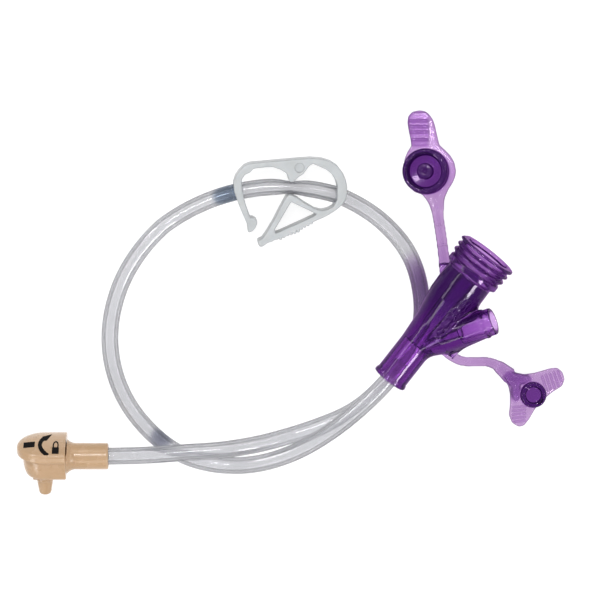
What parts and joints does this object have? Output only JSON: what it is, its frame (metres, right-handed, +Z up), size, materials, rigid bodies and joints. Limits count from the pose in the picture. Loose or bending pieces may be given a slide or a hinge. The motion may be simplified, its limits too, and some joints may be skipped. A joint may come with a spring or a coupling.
{
  "type": "enteral feeding extension set",
  "caption": "Loop of clear feeding tube running from a right-angle locking connector, through a pinch clamp, to a Y adapter with a threaded feeding port, a side port and tethered caps",
  "frame": {"origin": "Centre of the set's bounding box in plan, on the surface the set lies on", "axes": "+X from the locking connector towards the Y adapter's caps, +Y towards the pinch clamp's side of the loop, +Z up from the surface the set lies on"},
  "size_m": [0.1206, 0.0848, 0.0205],
  "materials": {
    "tube": "clear flexible tubing, glossy",
    "connector": "tan moulded plastic, satin gloss",
    "clamp": "milky white moulded plastic, satin",
    "adapter": "translucent violet moulded plastic, glossy",
    "cap": "translucent violet flexible plastic, glossy"
  },
  "bodies": {
    "set_body": {"feed_tube_coil": "tube", "feed_tube_pinch_zone": "tube", "feed_tube_tail": "tube", "y_body": "adapter", "feeding_port_collar": "adapter"},
    "connector_end": {"feed_tube_lead": "tube", "lock_body": "connector", "lock_cover": "connector", "lock_stem": "connector"},
    "clamp_frame_body": {"clamp_frame": "clamp"},
    "clamp_lever_body": {"clamp_lever": "clamp"},
    "clamp_post_body": {"clamp_post": "clamp"},
    "feeding_strap_a": {"feeding_strap_lower": "cap"},
    "feeding_strap_b": {"feeding_strap_upper": "cap"},
    "feeding_cap": {"feeding_cap_base": "cap", "feeding_cap_plug": "adapter"},
    "medication_strap_a": {"medication_strap_lower": "cap"},
    "medication_strap_b": {"medication_strap_upper": "cap"},
    "medication_cap": {"medication_cap_base": "cap", "medication_cap_plug": "adapter"}
  },
  "joints": [
    {"name": "lead_bend", "type": "hinge", "parent": "set_body", "child": "connector_end", "pos_m": [-0.01683, -0.03265, 0.0059], "axis": [0, 0, 1], "range_deg": [-12, 15]},
    {"name": "clamp_slide_along_tube", "type": "hinge", "parent": "set_body", "child": "clamp_frame_body", "pos_m": [-0.00231, -0.01773, 0.0044], "axis": [0, 0, 1], "range_deg": [-3, 18]},
    {"name": "clamp_close", "type": "hinge", "parent": "clamp_frame_body", "child": "clamp_lever_body", "pos_m": [0.00744, 0.0207, 0.00428], "axis": [-0.0348, 0.0872, -0.9956], "range_deg": [0, 20], "deforming": ["feed_tube_pinch_zone"]},
    {"name": "clamp_post_spring", "type": "hinge", "parent": "clamp_frame_body", "child": "clamp_post_body", "pos_m": [-0.00828, 0.03023, 0.00566], "axis": [-0.0348, 0.0872, -0.9956], "range_deg": [0, 12]},
    {"name": "feeding_cap_lift", "type": "hinge", "parent": "set_body", "child": "feeding_strap_a", "pos_m": [0.03344, 0.00933, 0.00849], "axis": [0.995, 0.1, 0], "range_deg": [0, 30]},
    {"name": "feeding_strap_bend", "type": "hinge", "parent": "feeding_strap_a", "child": "feeding_strap_b", "pos_m": [0.0329, 0.01461, 0.00499], "axis": [0.993, 0.118, 0], "range_deg": [0, 30]},
    {"name": "feeding_cap_bend", "type": "hinge", "parent": "feeding_strap_b", "child": "feeding_cap", "pos_m": [0.03225, 0.02007, 0.00169], "axis": [0.995, 0.1, 0], "range_deg": [0, 30]},
    {"name": "medication_cap_lift", "type": "hinge", "parent": "set_body", "child": "medication_strap_a", "pos_m": [0.0351, -0.01168, 0.00719], "axis": [-0.5977, -0.8017, 0], "range_deg": [0, 30]},
    {"name": "medication_strap_bend", "type": "hinge", "parent": "medication_strap_a", "child": "medication_strap_b", "pos_m": [0.04059, -0.01307, 0.00437], "axis": [-0.05, -0.9987, 0], "range_deg": [0, 30]},
    {"name": "medication_cap_bend", "type": "hinge", "parent": "medication_strap_b", "child": "medication_cap", "pos_m": [0.04555, -0.01408, 0.00104], "axis": [-0.6222, -0.7828, 0], "range_deg": [0, 30]}
  ],
  "couplings": [
    {"joint": "clamp_post_spring", "follows": "clamp_close", "ratio": 0.6},
    {"joint": "feeding_strap_bend", "follows": "feeding_cap_lift", "ratio": 1},
    {"joint": "feeding_cap_bend", "follows": "feeding_cap_lift", "ratio": 1},
    {"joint": "medication_strap_bend", "follows": "medication_cap_lift", "ratio": 1},
    {"joint": "medication_cap_bend", "follows": "medication_cap_lift", "ratio": 1}
  ]
}
